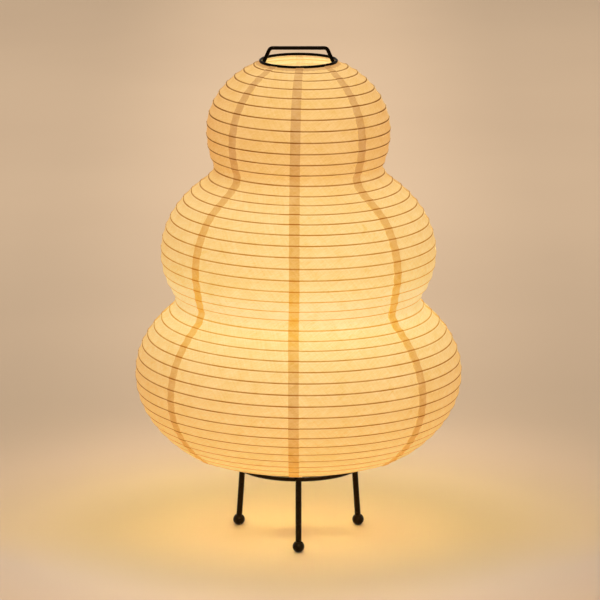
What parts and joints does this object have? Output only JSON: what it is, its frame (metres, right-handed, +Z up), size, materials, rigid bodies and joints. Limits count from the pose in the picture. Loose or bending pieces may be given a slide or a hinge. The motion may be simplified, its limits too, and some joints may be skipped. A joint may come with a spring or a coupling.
{
  "type": "paper lantern table lamp",
  "caption": "Three-lobed ribbed paper lantern shade on a black wire stand with ball feet, lifted off by its top ring; screw-in bulb inside.",
  "frame": {"origin": "on the floor, under the lamp's axis", "axes": "+Z up along the lamp's axis; -Y is the front, where one leg stands"},
  "size_m": [0.3291, 0.3291, 0.4994],
  "materials": {
    "black_steel": "satin black paint",
    "nickel": "nickel plate",
    "brass": "turned",
    "bakelite": "moulded, black",
    "porcelain": "white",
    "washi": "unbleached fibre paper, lit from inside",
    "cane": "split cane",
    "opal_glass": "opal",
    "clear_glass": "clear",
    "led": "warm white phosphor"
  },
  "bodies": {
    "stand": {"base_ring": "black_steel", "leg_front": "black_steel", "leg_right": "black_steel", "leg_left": "black_steel", "foot_front": "black_steel", "foot_right": "black_steel", "foot_left": "black_steel", "cross_bar": "black_steel", "socket_left": "black_steel", "socket_right": "black_steel", "socket_screw_left": "nickel", "socket_screw_right": "nickel", "stretcher": "black_steel", "nipple": "brass", "nipple_nut": "brass", "riser": "black_steel", "inlet_bush": "bakelite", "holder_cap": "bakelite", "holder_shell": "bakelite", "holder_core": "porcelain", "thread_sleeve": "brass", "centre_contact": "brass"},
    "shade": {"top_ring": "black_steel", "paper_gore_1": "washi", "paper_gore_2": "washi", "paper_gore_3": "washi", "paper_gore_4": "washi", "paper_gore_5": "washi", "paper_gore_6": "washi", "paper_gore_7": "washi", "paper_gore_8": "washi", "rib": "cane"},
    "shade_hoop": {"bottom_hoop": "black_steel"},
    "bulb_thread": {"bulb_tip": "nickel"},
    "bulb": {"bulb_insulator": "bakelite", "bulb_cap": "nickel", "bulb_globe": "opal_glass", "bulb_stem": "clear_glass", "filament_1": "led", "filament_2": "led", "filament_3": "led", "filament_4": "led"}
  },
  "joints": [
    {"name": "shade_lift", "type": "slide", "parent": "stand", "child": "shade", "axis": [0, 0, 1], "range_m": [0, 0.43]},
    {"name": "shade_collapse", "type": "slide", "parent": "shade", "child": "shade_hoop", "axis": [0, 0, 1], "range_m": [0, 0.35], "deforming": ["paper_gore_1", "paper_gore_2", "paper_gore_3", "paper_gore_4", "paper_gore_5", "paper_gore_6", "paper_gore_7", "paper_gore_8", "rib"]},
    {"name": "bulb_rise", "type": "slide", "parent": "stand", "child": "bulb_thread", "axis": [0, 0, 1], "range_m": [0, 0.0146]},
    {"name": "bulb_turn", "type": "hinge", "parent": "bulb_thread", "child": "bulb", "pos_m": [0, 0, 0.1152], "axis": [0, 0, 1], "range_deg": [0, 1440]}
  ],
  "couplings": [
    {"joint": "bulb_rise", "follows": "bulb_turn", "m_per_rad": 0.000576}
  ]
}
